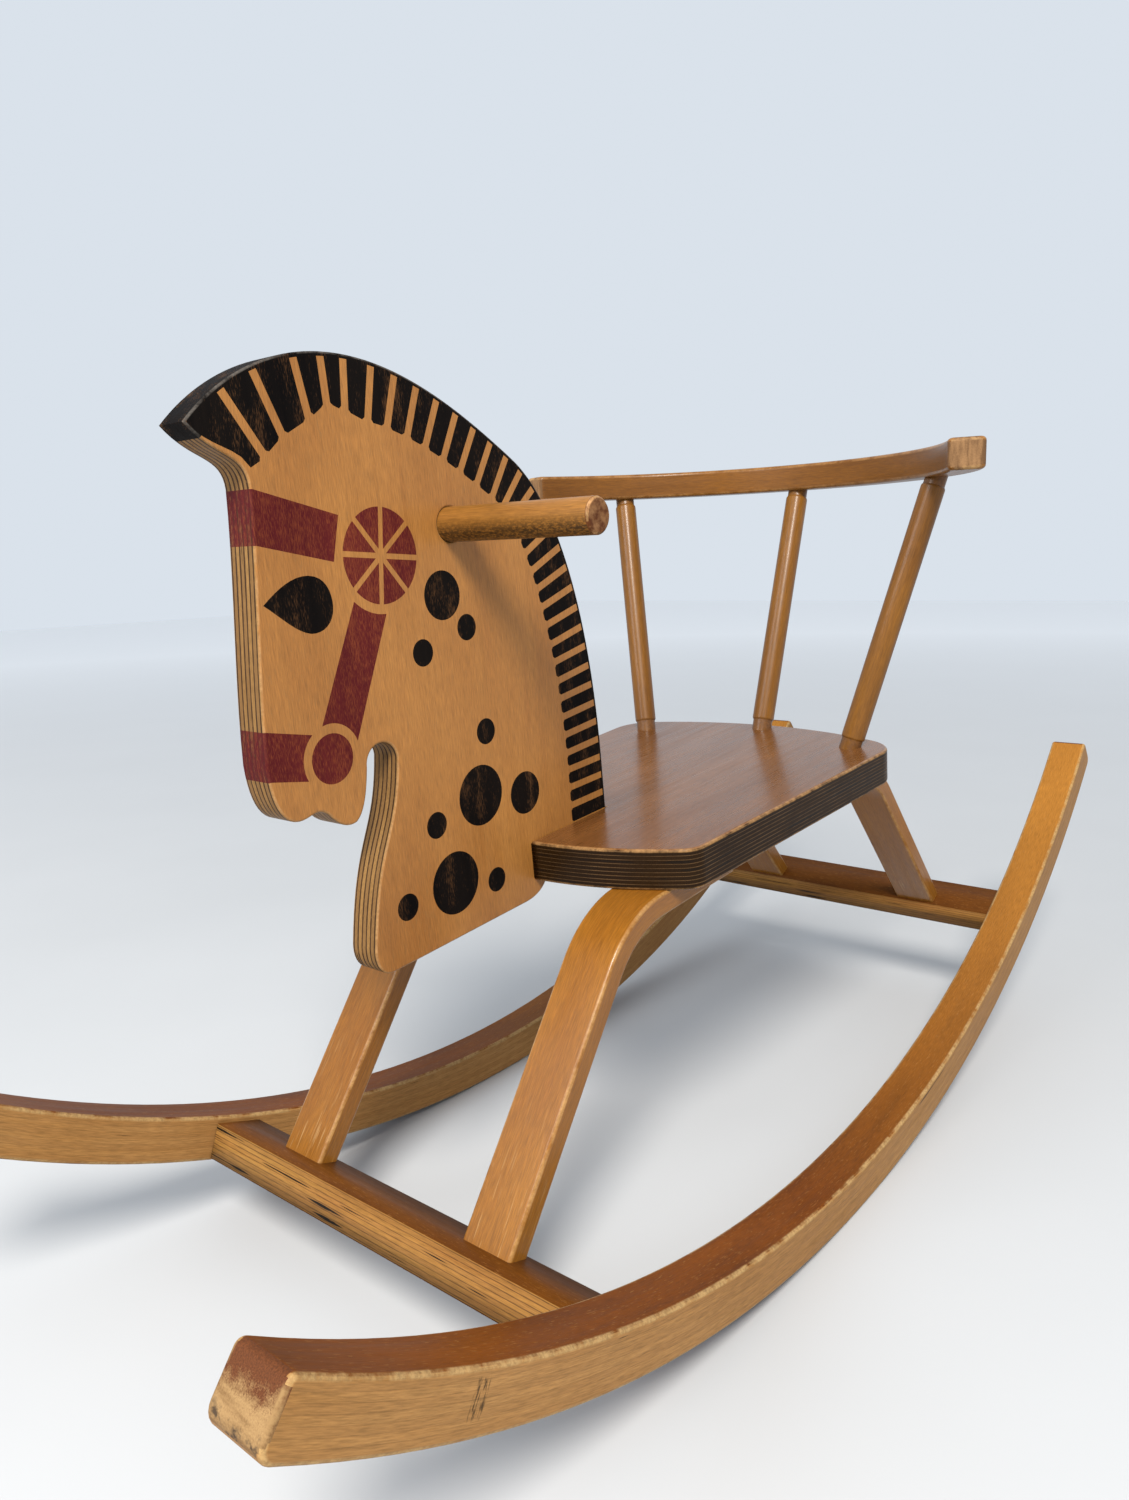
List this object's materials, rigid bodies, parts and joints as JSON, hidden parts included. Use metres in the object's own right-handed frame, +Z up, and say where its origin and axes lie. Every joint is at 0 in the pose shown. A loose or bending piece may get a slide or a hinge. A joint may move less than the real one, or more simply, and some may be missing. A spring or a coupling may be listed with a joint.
{
  "type": "rocking horse",
  "caption": "Child's wooden rocking horse: a flat painted horse's head set in a plywood seat with a curved spindle backrest, on bent legs, crossbars and curved rockers.",
  "frame": {"origin": "centre of the horse's outline, at floor level, with the horse standing at rest", "axes": "+X the way the horse faces, +Y to the horse's left, +Z up. The seat slopes down towards the head by the angle at which the horse balances."},
  "size_m": [1.0316, 0.4122, 0.5506],
  "materials": {
    "rocker_wood": "lacquered laminated beech, warm brown, worn pale along the edges",
    "crossbar_ply": "lacquered birch plywood, plies showing on the long edges",
    "leg_wood": "satin lacquered bent laminated birch, amber",
    "seat_ply": "glossy red-brown stained birch plywood, dark plies on the edge",
    "head_ply": "satin lacquered birch plywood with black and red stained decoration",
    "handle_wood": "lacquered turned beech, end grain at the tips",
    "spindle_wood": "lacquered turned beech",
    "rail_wood": "lacquered steam-bent beech",
    "dowel_wood": "bare fluted beech",
    "screw_steel": "plain countersunk wood screw"
  },
  "bodies": {
    "root": {"left_rocker": "rocker_wood", "right_rocker": "rocker_wood", "front_crossbar": "crossbar_ply", "rear_crossbar": "crossbar_ply", "front_crossbar_dowels": "dowel_wood", "rear_crossbar_dowels": "dowel_wood", "front_left_leg": "leg_wood", "front_right_leg": "leg_wood", "rear_left_leg": "leg_wood", "rear_right_leg": "leg_wood", "leg_screws": "screw_steel", "seat": "seat_ply", "horse_head": "head_ply", "head_dowel": "dowel_wood", "handle_bar": "handle_wood", "left_spindle": "spindle_wood", "centre_spindle": "spindle_wood", "right_spindle": "spindle_wood", "back_rail": "rail_wood"}
  },
  "joints": []
}
